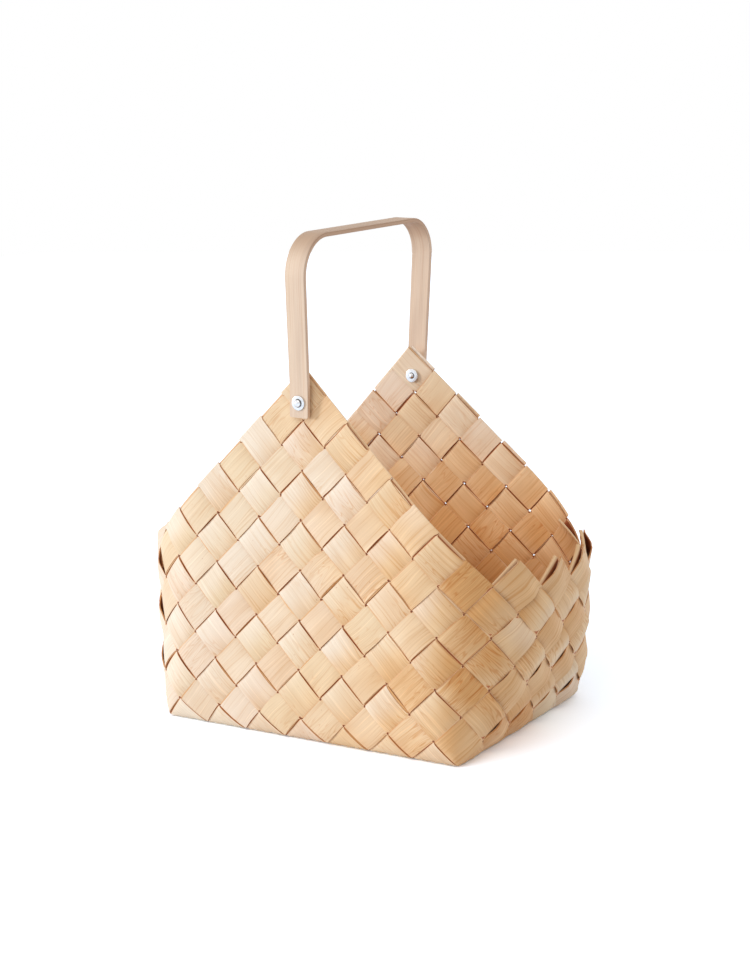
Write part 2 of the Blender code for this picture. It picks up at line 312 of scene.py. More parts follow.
class RimEnd:
    """How one end of a splint lies at the rim."""

    def __init__(self, address, turn, outside, draw):
        i, j = address
        around, up = around_and_up(i, j)
        around = math.remainder(around, 4 * QUARTER)
        past_middle = (abs(around) - QUARTER) / HALF_DEEP
        on_low_rim = up < END_UP + STEP / 2
        lean, opening, slim = (draw.uniform(*limits) for limits in (RIM_LEAN, RIM_OPENING, SLIM_OPENING))
        leans = on_low_rim and outside < 0
        west_lean = WEST_LEAN[0] + (WEST_LEAN[1] - WEST_LEAN[0]) * smooth(abs(past_middle))
        west_lean *= 1 - smooth((past_middle - BACK_CORNER_START) / (1 - BACK_CORNER_START))
        east_lean = BACK_CORNER_LEAN * smooth(past_middle)
        self.lean = (lean if leans else 0) + on_low_rim * (west_lean if around < 0 else east_lean)
        self.opening = opening if leans else slim * (outside < 0)
        self.upper = math.copysign(1, i) if over_an_end(i, j) else -turn * math.copysign(1, j)
        self.proud = RIM_PROUD + (OUTER_FOLD_PROUD if outside > 0 and not on_low_rim else 0)


class Splint:
    """One strip's path, with its own small irregularities."""

    def __init__(self, offset, is_warp, seed):
        draw = np.random.default_rng(seed)
        self.turn = 1 if is_warp else -1
        self.path = splint_path(offset, self.turn)
        self.count = len(self.path)
        self.outside = np.array([1 if (j % 2 == 1) == is_warp else -1 for _, j in self.path])
        over_end = np.array([over_an_end(i, j) for i, j in self.path])
        on_end = np.array([on_an_end(i, j) for i, j in self.path])
        around, up = np.array([around_and_up(i, j) for i, j in self.path]).T
        descends = np.where(over_end, not is_warp, is_warp)
        bulge = np.where(on_end, draw.uniform(*END_BULGE, self.count), draw.uniform(*SIDE_BULGE, self.count))
        bulge[up < STEP / 2] *= FOOT_BULGE_SHARE
        bulge[(up < 0) & (self.outside > 0)] = 0
        bulge[up > PEAK_UP - 3 * STEP / 2] = 0
        self.bulge = bulge
        end_skew = np.sign(np.gradient(up)) * draw.uniform(*END_SKEW, self.count)
        self.skew = np.where(on_end, end_skew, draw.normal(0, SIDE_SKEW, self.count))
        self.tilt = draw.normal(0, BULGE_TILT, self.count)
        on_side = np.array([-math.copysign(1, j) for _, j in self.path])
        on_back = (np.cos(around * math.pi / 2 / QUARTER) < 0) & ~on_end & (up > 0)
        self.flare = np.where(on_back, 0, CORNER_FLARE)
        to_end = np.array([self.turn * math.copysign(1, i) for i, _ in self.path])
        self.ahead = np.where(over_end, to_end, on_side)
        # Which end of each crossing gets painted shade, as its bulge turns from the light
        self.shaded_end = descends * np.where(on_end, -1, 1) * self.ahead * (up > 0)
        size = np.where(on_end, draw.uniform(*END_LIFT, self.count), draw.uniform(*SIDE_LIFT, self.count))
        size = np.where(on_back & descends, draw.uniform(*BACK_LIFT, self.count), size)
        lift = np.where(over_end, -to_end, on_side) * (up > 0) * size
        lift[[0, -1]] = 0
        self.lift = np.concatenate((lift[:1], lift, lift[-1:]))
        self.shade = draw.normal(0, CELL_TONE, self.count) * (1 + on_end) + np.where(descends, 0, WEFT_TONE)
        self.inner_shade = draw.normal(0, INNER_CELL_TONE, self.count)
        spares = self.count + 3
        self.drift = draw.normal(0, DRIFT, spares)
        self.spare = draw.normal(0, SPARE_WIDTH, spares)
        self.slip = np.clip(draw.normal(0, SLIP, (2, spares)), -SLIP_LIMIT, SLIP_LIMIT)
        self.ends = [RimEnd(self.path[k], self.turn, self.outside[k], draw) for k in (0, -1)]

    def stations(self):
        """Positions along the path, counted in crossings from its first one, between the two folds."""
        near, far = (0.5 + (end.proud - FOLD_REACH / 2) / PITCH for end in self.ends)
        inner = [k + share for k in range(self.count) for share in CELL_STATIONS]
        return np.array([-near] + inner + [self.count - 0.5, self.count - 1 + far])

    def cell(self, t):
        """Crossing that a position belongs to, its share of the way past it, and if it is past the last."""
        cell = np.clip(np.floor(t + 0.5).astype(int), 0, self.count - 1)
        share = t - cell
        past = ((cell == 0) & (share < 0)) | ((cell == self.count - 1) & (share > 0))
        return cell, share, past

    def height(self, which, t, v):
        """How far the strip lies outside (or inside) the middle of the wall."""
        cell, share, past = self.cell(t)
        share = np.clip(share, -0.5, 0.5)
        dive = np.sin(math.pi / 2 * np.clip((0.5 - np.abs(share)) / DIVE_SHARE, 0, 1))
        dive = np.where(past, 1, dive)
        swell = np.cos(math.pi * share) ** 2 * (1 + self.skew[cell] * 2 * share) * (1 + self.tilt[cell] * v)
        own = self.outside[cell] * (LAYER_HEIGHT * dive + self.bulge[cell] * swell)
        return own + at(self.lift, t) * v - self.leaning(which, t, v)

    def leaning(self, which, t, v):
        """How far the ends lean in from the wall, most at their upper side, and the inner run further yet."""
        depth = 0 * t
        for end, past in zip(self.ends, (-t, t - self.count + 1)):
            rising = np.clip((past + LEAN_START_SHARE) / (0.5 + LEAN_START_SHARE), 0, None) ** 2
            side = end.upper * v
            opening = end.opening * (1 + OPENING_SPREAD * side) if which == 1 else 0
            depth = depth + rising * (end.lean * (1 + side) / 2 + opening)
        return depth

    def cell_tone(self, which, t):
        """Each crossing's own tone, with painted shade that deepens a little towards one end of it."""
        cell, share, _ = self.cell(t)
        if which == 1:
            return self.inner_shade[cell]
        has_shaded_end = self.shaded_end[cell] != 0
        return self.shade[cell] + CELL_END_SHADE * has_shaded_end * (smooth(0.5 + share * self.shaded_end[cell]) - END_SHADE_MIDDLE)

    def tucked_shade(self, which, t, v):
        """1 where the strip lies under its neighbours, seen from this side of the wall: painted shade in the
        slots and gaps, deeper on the gaping side, in the node corners and on covered fold ends.
        """
        cell, share, past = self.cell(t)
        shown = (self.outside[cell] > 0) == (which == 0)
        gaping = share * self.ahead[cell] * (1 if which == 0 else -1) < 0
        corner = np.abs(v) > MARGIN
        to_edge = (np.abs(share) - 0.5) / TUCK_SHARE
        brink = smooth(to_edge + np.where(gaping | corner, GAPING_SHADE, 0)) * (1 + corner)
        beyond = 1 - (1 - FOLD_SHADE * (which == 0)) * smooth(to_edge + 1)
        pressed = np.where(gaping, 1 - smooth((np.abs(share) - PRESSED_END) / TUCK_SHARE + 1) / 2, 1)
        under = np.where(corner, np.where(np.abs(share) > CORNER_START, DEEP_CORNER, SLIVER), pressed)
        return np.where(shown, np.where(past, 0, brink), np.where(past, beyond, under))

    def run(self, which, stations):
        """One run of veneer between the folds: 0 is the outer one, 1 the inner one."""
        t, v = np.meshgrid(stations, COLUMNS, indexing="ij")
        first_i, first_j = self.path[0]
        middle_i, middle_j = first_i + t, first_j + self.turn * t
        over_end = over_an_end(middle_i, middle_j)
        cell, share, _ = self.cell(t)
        flare = self.flare[cell] * smooth((np.abs(share) - FLARE_START) / FLARE_SHARE)
        half_width = STRIP_WIDTH / 2 + at(self.spare, t) + flare
        lateral = v * half_width + at(self.drift, t) + at(self.slip[which], t)
        x = middle_i * STEP + lateral / math.sqrt(2)
        y = middle_j * STEP - self.turn * lateral / math.sqrt(2)
        surface = rounded_point(x, y, over_end)
        out = facing(surface)
        places = surface + out * self.height(which, t, v)[..., None]
        normals = facing(places) * (1 if which == 0 else -1)
        # Painted shade and light by place, plus each crossing's own tone and its painted end shade
        warmth_and_shade = tone_and_shade(out, surface, which) + self.cell_tone(which, t)
        return {
            "place": places + normals * PLY_OFFSET,
            "normal": normals,
            "tone_and_shade": np.clip(warmth_and_shade, PALEST, WARMEST[which]),
            "tucked_shade": self.tucked_shade(which, t, v),
            "along": t * PITCH,
        }


def nose(outer, inner, tip, before, along):
    """The fold at one end, from the tip of the outer run round to that of the inner one."""
    place, other = outer["place"][tip], inner["place"][tip]
    normal = outer["normal"][tip]
    ahead = place - outer["place"][before]
    ahead = unit(ahead - normal * np.sum(ahead * normal, axis=-1, keepdims=True))
    middle, spread = (place + other) / 2, (place - other) / 2
    radius = np.linalg.norm(spread, axis=-1, keepdims=True)
    reach = np.minimum(radius, FOLD_REACH)
    up = spread / radius
    fold = {name: [] for name in outer}
    for k in range(1, NOSE_STATIONS):
        share = k / NOSE_STATIONS
        angle = math.pi * share
        fold["place"].append(middle + up * radius * math.cos(angle) + ahead * reach * math.sin(angle))
        fold["normal"].append(unit(up * reach * math.cos(angle) + ahead * radius * math.sin(angle)))
        for name in ("tone_and_shade", "tucked_shade"):
            fold[name].append(outer[name][tip] * (1 - share) + inner[name][tip] * share)
        fold["along"].append(along + 0 * outer["along"][tip])
    return {name: np.array(rows) for name, rows in fold.items()}


def folded_strip(splint):
    """A splint's veneer, once round: out along the outer run and back on the inner one."""
    stations = splint.stations()
    outer, inner = (splint.run(which, stations) for which in (0, 1))
    turned_back = 2 * stations[-1] * PITCH
    inner["along"] = turned_back - inner["along"]
    far = nose(outer, inner, -1, -3, stations[-1] * PITCH)
    near = nose(outer, inner, 0, 2, turned_back - stations[0] * PITCH)
    return {
        name: np.concatenate((outer[name], far[name], inner[name][::-1], near[name][::-1]))
        for name in outer
    }


def veneer_mesh(name, strip, seed):
    """A closed loop of veneer, with the grain's own coordinates on it."""
    places, normals = strip["place"], strip["normal"]
    rounds, wide = places.shape[:2]
    below = rounds * wide
    faces, cut = [], []
    for k in range(rounds):
        here, after = k * wide, (k + 1) % rounds * wide
        for c in range(wide - 1):
            a, b, d, e = here + c, here + c + 1, after + c + 1, after + c
            faces += [(a, b, d, e), (below + e, below + d, below + b, below + a)]
            cut += [0, 0]
        left, right = (here, after), (here + wide - 1, after + wide - 1)
        faces.append((*left, below + left[1], below + left[0]))
        faces.append((below + right[0], below + right[1], *right[::-1]))
        cut += [1, 1]
    across, ahead = places[2, -1] - places[2, 0], places[3, 0] - places[2, 0]
    if np.dot(np.cross(ahead, across), normals[2, 0]) > 0:
        faces = [face[::-1] for face in faces]
    verts = np.concatenate([(places + normals * side * VENEER / 2).reshape(-1, 3) for side in (1, -1)])
    verts[:, 2] = np.maximum(verts[:, 2], LOWEST)
    mesh = bpy.data.meshes.new(name)
    mesh.from_pydata(verts.tolist(), [], faces)
    columns = np.broadcast_to(COLUMNS * STRIP_WIDTH / 2, (rounds, wide))
    grain = np.stack((strip["along"], columns, np.full((rounds, wide), seed)), axis=-1)
    keep(mesh, "grain", "FLOAT_VECTOR", "POINT", np.concatenate([grain.reshape(-1, 3)] * 2))
    keep(mesh, "tone_and_shade", "FLOAT", "POINT", np.tile(strip["tone_and_shade"].ravel(), 2))
    # Painted shade of covered veneer; the ply's inner skin gets no more than a brink's orange, as painted
    # shade between the plies
    tucked_shade = strip["tucked_shade"].ravel()
    keep(mesh, "tucked_shade", "FLOAT", "POINT", np.concatenate((tucked_shade, np.minimum(tucked_shade, BETWEEN_PLIES))))
    keep(mesh, "cut_edge", "FLOAT", "FACE", np.array(cut))
    return mesh


def keep(mesh, name, kind, domain, values):
    """Store values on a mesh for its finish to read."""
    held = mesh.attributes.new(name, kind, domain)
    held.data.foreach_set("vector" if kind == "FLOAT_VECTOR" else "value", values.astype(np.float32).ravel())


def finish_piece(name, mesh, finish, body, node):
    """Give a mesh its finish and its body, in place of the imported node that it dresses."""
    mesh.materials.append(finish)
    mesh.shade_smooth()
    mesh.set_sharp_from_angle(angle=SHARP_ANGLE)
    piece = bpy.data.objects.new(name, mesh)
    bpy.context.scene.collection.objects.link(piece)
    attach(piece, body)
    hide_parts(node)


def plait(finishes):
    """The warp and then the weft, with the veneers in turn."""
    offsets = range(1 - LONG_STEPS - DEEP_STEPS, LONG_STEPS + DEEP_STEPS, 2)
    slots = list(finishes)
    for is_warp in (True, False):
        for number, offset in enumerate(offsets, start=1):
            node = f"{'warp' if is_warp else 'weft'}_splint_{number:02d}"
            seed = number + (WARP_SEEDS if is_warp else WEFT_SEEDS)
            mesh = veneer_mesh(f"veneer_{node}", folded_strip(Splint(offset, is_warp, seed)), seed)
            slot = slots[(number + is_warp) % len(slots)]
            finish_piece(f"veneer_{node}", mesh, finishes[slot], "basket", node)


# Finishes


class Reading:
    """A number from a node that takes part in Python sums."""

    def __init__(self, finish, socket):
        self.finish = finish
        self.socket = socket

    def sum(self, operation, *values):
        made = self.finish.node("ShaderNodeMath", {"operation": operation}, dict(enumerate(values)))
        return Reading(self.finish, made.outputs[0])

    def __add__(self, other):
        return self.sum("ADD", self, other)

    def __radd__(self, other):
        return self.sum("ADD", other, self)

    def __sub__(self, other):
        return self.sum("SUBTRACT", self, other)

    def __rsub__(self, other):
        return self.sum("SUBTRACT", other, self)

    def __mul__(self, other):
        return self.sum("MULTIPLY", self, other)

    def __rmul__(self, other):
        return self.sum("MULTIPLY", other, self)

    def __truediv__(self, other):
        return self.sum("DIVIDE", self, other)

    def __gt__(self, other):
        return self.sum("GREATER_THAN", self, other)

    def __abs__(self):
        return self.sum("ABSOLUTE", self)

    def larger(self, other):
        return self.sum("MAXIMUM", self, other)

    def fraction(self):
        return self.sum("FRACT", self)

    def between(self, low, high):
        """0 at low, 1 at high, smooth between."""
        sockets = {"Value": self, "From Min": low, "From Max": high}
        made = self.finish.node("ShaderNodeMapRange", {"interpolation_type": "SMOOTHSTEP"}, sockets)
        return Reading(self.finish, made.outputs[0])


class Finish:
    """A material, or the sky, under construction."""

    def __init__(self, owner):
        owner.use_nodes = True
        self.owner = owner
        self.tree = owner.node_tree
        self.tree.nodes.clear()

    def node(self, kind, settings=None, sockets=None):
        made = self.tree.nodes.new(kind)
        for name, value in (settings or {}).items():
            setattr(made, name, value)
        for name, value in (sockets or {}).items():
            value = value.socket if isinstance(value, Reading) else value
            if isinstance(value, bpy.types.NodeSocket):
                self.tree.links.new(value, made.inputs[name])
            else:
                made.inputs[name].default_value = value
        return made

    def attribute(self, name, output):
        made = self.node("ShaderNodeAttribute", {"attribute_type": "GEOMETRY", "attribute_name": name})
        return made.outputs[output]

    def held(self, name):
        """A number stored on the mesh."""
        return Reading(self, self.attribute(name, "Fac"))

    def parts(self, vector):
        made = self.node("ShaderNodeSeparateXYZ", sockets={0: vector})
        return [Reading(self, made.outputs[k]) for k in range(3)]

    def vector(self, x, y, z):
        return self.node("ShaderNodeCombineXYZ", sockets={0: x, 1: y, 2: z}).outputs[0]

    def noise(self, x, y, z, detail=2.0, roughness=0.5):
        sockets = {"Vector": self.vector(x, y, z), "Scale": 1.0, "Detail": detail, "Roughness": roughness}
        return Reading(self, self.node("ShaderNodeTexNoise", sockets=sockets).outputs[0])

    def strip_noise(self, along, across, seed, pattern, detail=2.0, roughness=0.5):
        """Noise that is stretched along a strip, and differs from strip to strip."""
        length, width, factor = pattern
        return self.noise(along / length, across / width, seed * factor, detail, roughness)

    def scattered(self, x, y, z):
        """Distance to the nearest scattered point, and that point's random number."""
        sockets = {"Vector": self.vector(x, y, z), "Scale": 1.0}
        made = self.node("ShaderNodeTexVoronoi", sockets=sockets)
        chance = self.parts(made.outputs["Color"])[0]
        return Reading(self, made.outputs["Distance"]), chance

    def blend(self, factor, first, second, way="MIX"):
        settings = {"data_type": "RGBA", "blend_type": way}
        return self.node("ShaderNodeMix", settings, {0: factor, 6: first, 7: second}).outputs[2]

    def scaled(self, shade, amount):
        sockets = {0: shade, "Scale": amount}
        return self.node("ShaderNodeVectorMath", {"operation": "SCALE"}, sockets).outputs[0]

    def bump(self, height, strength, distance):
        sockets = {"Height": height, "Strength": strength, "Distance": distance}
        return self.node("ShaderNodeBump", sockets=sockets).outputs[0]

    def seen(self):
        """1 for what the camera sees, straight, in metal or through glass."""
        path = self.node("ShaderNodeLightPath").outputs
        rays = [Reading(self, path[f"Is {kind} Ray"]) for kind in ("Camera", "Glossy", "Transmission")]
        return rays[0].larger(rays[1]).larger(rays[2])

    def surface(self, **sockets):
        named = {name.replace("_", " "): value for name, value in sockets.items()}
        shader = self.node("ShaderNodeBsdfPrincipled", sockets=named)
        self.node("ShaderNodeOutputMaterial", sockets={"Surface": shader.outputs[0]})
        return self.owner


def new_material(name):
    return Finish(bpy.data.materials.new(name))


def colour(red, green, blue):
    return (red, green, blue, 1.0)


WHITE = colour(1.0, 1.0, 1.0)
# Whitish, tan and amber are what the tone blends towards: partly the cells' own random tone, mostly painted
# shade and light by place
WHITISH = colour(0.96, 0.85, 0.72)
TAN_SHADE_LIGHT = colour(0.90, 0.63, 0.37)
TAN_SHADE_DARK = colour(0.80, 0.52, 0.28)
AMBER_SHADE = colour(0.73, 0.40, 0.16)
STREAK_TINT = colour(0.88, 0.72, 0.54)
FIGURE_TINT = colour(0.84, 0.62, 0.42)
SPECK_BROWN = colour(0.50, 0.20, 0.09)
# Painted shade: orange at the brink of a slot, red-brown under the neighbours, deep brown in the node holes
BRINK_SHADE_ORANGE = colour(0.88, 0.60, 0.34)
TUCK_SHADE_RED = colour(0.50, 0.16, 0.06)
DEEP_SHADE_BROWN = colour(0.20, 0.055, 0.02)
CUT_ORANGE = colour(0.64, 0.26, 0.08)


# Light and dark veneer of each slot, and how much growth figure shows on it
BIRCHES = {
    "birch_cream": (colour(0.89, 0.73, 0.54), colour(0.85, 0.66, 0.46), 0.30),
    "birch_pale": (colour(0.91, 0.77, 0.62), colour(0.87, 0.70, 0.53), 0.25),
    "birch_rose": (colour(0.90, 0.73, 0.58), colour(0.85, 0.65, 0.48), 0.45),
    "birch_honey": (colour(0.88, 0.70, 0.48), colour(0.83, 0.63, 0.41), 0.35),
}

# Patterns in the veneer: lengths along and across a strip in millimetres, and a factor for its seed
SWAY = (70, 18, 2.3)
BROAD_SHADES = (45, 22, 3.7)
STREAKS = (110, 1.5, 5.3)
FIBRES = (26, 0.38, 1.9)
WARM_PATCHES = (38, 50, 6.1)
GROWTH = (55, 7, 4.1)
FIGURED_PLACES = (60, 60, 8.9)
SPECKS = (7, 7, 2.77)
SPECKLED_LENGTH = 50

# Where each pattern begins and ends, as values of its noise, and the same for covered veneer's brown
BROAD_RANGE = (0.34, 0.66)
STREAK_RANGE = (0.50, 0.30)
GLEAM_RANGE = (0.58, 0.70)
GROWTH_LINE_RANGE = (0.20, 0.02)
FIGURED_RANGE = (0.50, 0.62)
SPECK_RANGE = (0.10, 0.05)
SPECKLED_RANGE = (0.45, 0.60)
BRINK_RANGE = (0.0, 0.5)
COVERED_RANGE = (0.4, 1.0)
DEEP_RANGE = (1.0, 1.8)

# How strongly each pattern shows
SWAY_BEND = 9
PATCH_CONTRAST = 1.4
STREAK_STRENGTH = 0.5
STREAK_WARM_STRENGTH = 0.3
GROWTH_LINES = 11
FIGURE_WARM_STRENGTH = 0.25
SPECK_CHANCE = 0.86
SPECK_STRENGTH = 0.55
GLEAM_STRENGTH = 0.12
FIBRE_CONTRAST = 0.16
STREAK_CONTRAST = 0.10
CUT_STRENGTH = 0.8
GRAIN_DEPTH = 0.0002
GRAIN_RELIEF = 0.25
VENEER_ROUGHNESS = 0.50
FIBRE_ROUGHNESS = 0.12


def veneer(name, light, dark, figure_share):
    """Sliced birch: fibres and soft streaks along the strip, growth figure in places, small specks."""
    finish = new_material(name)
    along, across, seed = finish.parts(finish.attribute("grain", "Vector"))
    tone_and_shade, tucked_shade, cut = (finish.held(held) for held in ("tone_and_shade", "tucked_shade", "cut_edge"))
    along, across = along / MM, across / MM
    sway = finish.strip_noise(along, across, seed, SWAY, detail=1.0)
    bent = across + (sway - 0.5) * SWAY_BEND
    broad = finish.strip_noise(along, across, seed, BROAD_SHADES, detail=1.0).between(*BROAD_RANGE)
    streak = finish.strip_noise(along, bent, seed, STREAKS, detail=3.0, roughness=0.6)
    fibre = finish.strip_noise(along, bent, seed, FIBRES, detail=3.0, roughness=0.6)
    shade = finish.blend(broad, dark, light)
    tan_shade = finish.blend(broad, TAN_SHADE_DARK, TAN_SHADE_LIGHT)
    # Painted shade and light: whitish where light falls fully, tan and amber where less falls, varied in
    # patches
    patch = finish.strip_noise(along, across, seed, WARM_PATCHES, detail=0.0)
    warm_and_shade = tone_and_shade * ((patch - 0.5) * PATCH_CONTRAST + 1.0)
    shade = finish.blend(warm_and_shade * -1.0, shade, WHITISH)
    shade = finish.blend(warm_and_shade, shade, tan_shade)
    shade = finish.blend(warm_and_shade - 1, shade, AMBER_SHADE)
    streaked = streak.between(*STREAK_RANGE) * (STREAK_STRENGTH + tone_and_shade * STREAK_WARM_STRENGTH)
    shade = finish.blend(streaked, shade, STREAK_TINT, "MULTIPLY")
    growth = finish.strip_noise(along, bent, seed, GROWTH, detail=1.0)
    line = abs((growth * GROWTH_LINES).fraction() - 0.5).between(*GROWTH_LINE_RANGE)
    figured = finish.strip_noise(along, across, seed, FIGURED_PLACES, detail=0.0).between(*FIGURED_RANGE)
    figured = line * figured * (figure_share + tone_and_shade * FIGURE_WARM_STRENGTH)
    shade = finish.blend(figured, shade, FIGURE_TINT, "MULTIPLY")
    distance, chance = finish.scattered(along / SPECKS[0], across / SPECKS[1], seed * SPECKS[2])
    speckled = finish.noise(along / SPECKLED_LENGTH, 0.5, seed).between(*SPECKLED_RANGE)
    specks = distance.between(*SPECK_RANGE) * (chance > SPECK_CHANCE) * speckled
    shade = finish.blend(specks * SPECK_STRENGTH, shade, SPECK_BROWN)
    gleam = streak.between(*GLEAM_RANGE) * GLEAM_STRENGTH
    grain = (fibre - 0.5) * FIBRE_CONTRAST + (streak - 0.5) * STREAK_CONTRAST
    shade = finish.scaled(shade, grain + gleam + 1.0)
    shade = finish.blend(cut * CUT_STRENGTH, shade, CUT_ORANGE)
    # Painted shade where the veneer lies covered, in slots, gaps, folds and node holes
    shade = finish.blend(tucked_shade.between(*BRINK_RANGE), shade, BRINK_SHADE_ORANGE)
    shade = finish.blend(tucked_shade.between(*COVERED_RANGE), shade, TUCK_SHADE_RED)
    shade = finish.blend(tucked_shade.between(*DEEP_RANGE), shade, DEEP_SHADE_BROWN)
    return finish.surface(
        Base_Color=shade,
        Roughness=VENEER_ROUGHNESS + FIBRE_ROUGHNESS * fibre,
        Normal=finish.bump(fibre * 0.5 + streak * 0.5, GRAIN_RELIEF, GRAIN_DEPTH),
        Specular_IOR_Level=0.3,
    )


# Laminate of the handle, with its patterns' lengths along, across and through it in millimetres
PLY_COUNT = 4
PLY_MM = HANDLE_THICKNESS / MM / PLY_COUNT
LAMINATE_SHADES = (90, 9, 9)
LAMINATE_STREAKS = (140, 0.8, 2)
LAMINATE_FIBRES = (16, 0.30, 0.4)
LAMINATE_DARK = colour(0.75, 0.58, 0.45)
LAMINATE_LIGHT = colour(0.85, 0.67, 0.52)
LAMINATE_STREAK = colour(0.86, 0.74, 0.64)
PLY_EDGE = colour(0.74, 0.46, 0.28)
GLUE_LINE = colour(0.40, 0.20, 0.10)
OUTER_PLY_EDGE = colour(0.46, 0.25, 0.13)
HANDLED_SHADE_TINT = colour(0.71, 0.62, 0.55)
LAMINATE_SHADE_RANGE = (0.3, 0.7)
LAMINATE_STREAK_RANGE = (0.52, 0.34)
LAMINATE_STREAK_STRENGTH = 0.6
LAMINATE_CONTRAST = 0.14
PLY_EDGE_STRENGTH = 0.5
GLUE_RANGE = (0.38, 0.48)
GLUE_STRENGTH = 0.4
OUTER_PLY_SHARES = (0.6, 0.8)
OUTER_PLY_STRENGTH = 0.6
HANDLED_SHADE_RANGE = (0.3, 0.95)
LAMINATE_ROUGHNESS = 0.44
LAMINATE_STREAK_ROUGHNESS = 0.12
LAMINATE_RELIEF = 0.2


def shares(places, lengths):
    """Coordinates as shares of a pattern's own lengths."""
    return [place / length for place, length in zip(places, lengths)]


def bent_birch():
    """Laminated birch, sanded: long grain on the faces, plies on the edges, darker along the bar, partly as
    handling wear and partly as painted shade.
    """
    finish = new_material("bent_birch_laminate")
    places = [place / MM for place in finish.parts(finish.attribute("grain", "Vector"))]
    through = places[2]
    cut = finish.held("cut_edge")
    broad = finish.noise(*shares(places, LAMINATE_SHADES), detail=1.0)
    streak = finish.noise(*shares(places, LAMINATE_STREAKS), detail=3.0, roughness=0.6)
    fibre = finish.noise(*shares(places, LAMINATE_FIBRES), detail=2.0, roughness=0.6)
    shade = finish.blend(broad.between(*LAMINATE_SHADE_RANGE), LAMINATE_DARK, LAMINATE_LIGHT)
    streaked = streak.between(*LAMINATE_STREAK_RANGE) * LAMINATE_STREAK_STRENGTH
    shade = finish.blend(streaked, shade, LAMINATE_STREAK, "MULTIPLY")
    ply = abs((through / PLY_MM).fraction() - 0.5)
    shade = finish.blend(cut * PLY_EDGE_STRENGTH, shade, PLY_EDGE)
    shade = finish.blend(cut * ply.between(*GLUE_RANGE) * GLUE_STRENGTH, shade, GLUE_LINE)
    outer_ply = through.between(*(HANDLE_THICKNESS / MM * share for share in OUTER_PLY_SHARES))
    shade = finish.blend(cut * outer_ply * OUTER_PLY_STRENGTH, shade, OUTER_PLY_EDGE)
    # Handling wear and painted shade: darker along the level bar
    handled_and_shaded = finish.held("grip_and_bar_shade").between(*HANDLED_SHADE_RANGE)
    shade = finish.blend(handled_and_shaded, shade, HANDLED_SHADE_TINT, "MULTIPLY")
    shade = finish.scaled(shade, (fibre - 0.5) * LAMINATE_CONTRAST + 1.0)
    return finish.surface(
        Base_Color=shade,
        Roughness=LAMINATE_ROUGHNESS + LAMINATE_STREAK_ROUGHNESS * streak,
        Normal=finish.bump(fibre * 0.6 + streak * 0.4, LAMINATE_RELIEF, GRAIN_DEPTH),
        Specular_IOR_Level=0.35,
    )


# Steel of the rivets and washers, with its patterns' lengths across, from the axis and up in millimetres
TURNING_MARKS = (3, 0.2, 3)
SMEARS = (2, 2, 2)
SMEAR_RANGE = (0.35, 0.7)
SEAT_SHADE_RANGE = (0.6, 0.1)
SEAT_SHADE_STRENGTH = 0.85
STEEL_ROUGHNESS = 0.18
SMEAR_ROUGHNESS = 0.10
MARK_ROUGHNESS = 0.05
MARK_RELIEF = 0.10
MARK_DEPTH = 0.00005
STEEL_LIGHT = colour(0.74, 0.74, 0.75)
STEEL_DULL = colour(0.60, 0.60, 0.61)
SEAT_SHADE = colour(0.10, 0.09, 0.08)


def polished_steel():
    """Nickel-plated steel with faint turning marks and smears, and a dark ring of painted shade where the
    rivets' heads and tails meet the washers.
    """
    finish = new_material("polished_rivet_steel")
    places = [place / MM for place in finish.parts(finish.attribute("grain", "Vector"))]
    marks = finish.noise(*shares(places, TURNING_MARKS), detail=3.0)
    smear = finish.noise(*shares(places, SMEARS), detail=2.0)
    # Painted shade: a dark ring at the radius of the heads and tails, where they sit on the washers
    seat_shade = abs(places[1] - finish.held("seat") / MM).between(*SEAT_SHADE_RANGE)
    shade = finish.blend(smear.between(*SMEAR_RANGE), STEEL_LIGHT, STEEL_DULL)
    return finish.surface(
        Base_Color=finish.blend(seat_shade * SEAT_SHADE_STRENGTH, shade, SEAT_SHADE),
        Metallic=1.0,
        Roughness=STEEL_ROUGHNESS + SMEAR_ROUGHNESS * smear + MARK_ROUGHNESS * marks,
        Normal=finish.bump(marks, MARK_RELIEF, MARK_DEPTH),
    )


# Handle

BEND_STEPS = 28
KNEE_STEPS = 8
KNEE_TRIM = 0.008
STRAIGHT_STEP = 0.006
HANDLE_EDGE = 0.0005
FACE_SHARES = (-0.95, -0.5, 0.0, 0.5, 0.95)
SIDE_SHARES = (0.35, 0.65)
FOOT_CORNER_SHARES = (0, 0.2, 0.6, 1)


def wall_middle(up):
    """Place of the wall's middle on the centre line of the back, at a distance up it."""
    _, y, z = sheet_point(np.array([0.0]), np.array([HALF_DEEP + up]), np.array([False]))[0]
    return y, z


def rivet_seat():
    """Height of the rivets, and how far out the wall's faces reach under a washer there."""
    y, z = wall_middle(PEAK_UP - RIVET_DROP)
    below_y, below_z = wall_middle(PEAK_UP - RIVET_DROP - STEP)
    lean = (below_y - y) / (z - below_z)
    spread = WALL_HALF * math.sqrt(1 + lean ** 2) + WASHER_RADIUS * lean + LAYER_GAP
    return z, y - spread, y + spread


RIVET_HEIGHT, SEAT_INNER, SEAT_OUTER = rivet_seat()
FOOT_INNER = SEAT_OUTER + SPACER_THICKNESS + LAYER_GAP
FOOT_OUTER = FOOT_INNER + HANDLE_THICKNESS
CAP_SEAT = FOOT_OUTER + LAYER_GAP + WASHER_THICKNESS + LAYER_GAP
TAIL_SEAT = SEAT_INNER - WASHER_THICKNESS - LAYER_GAP


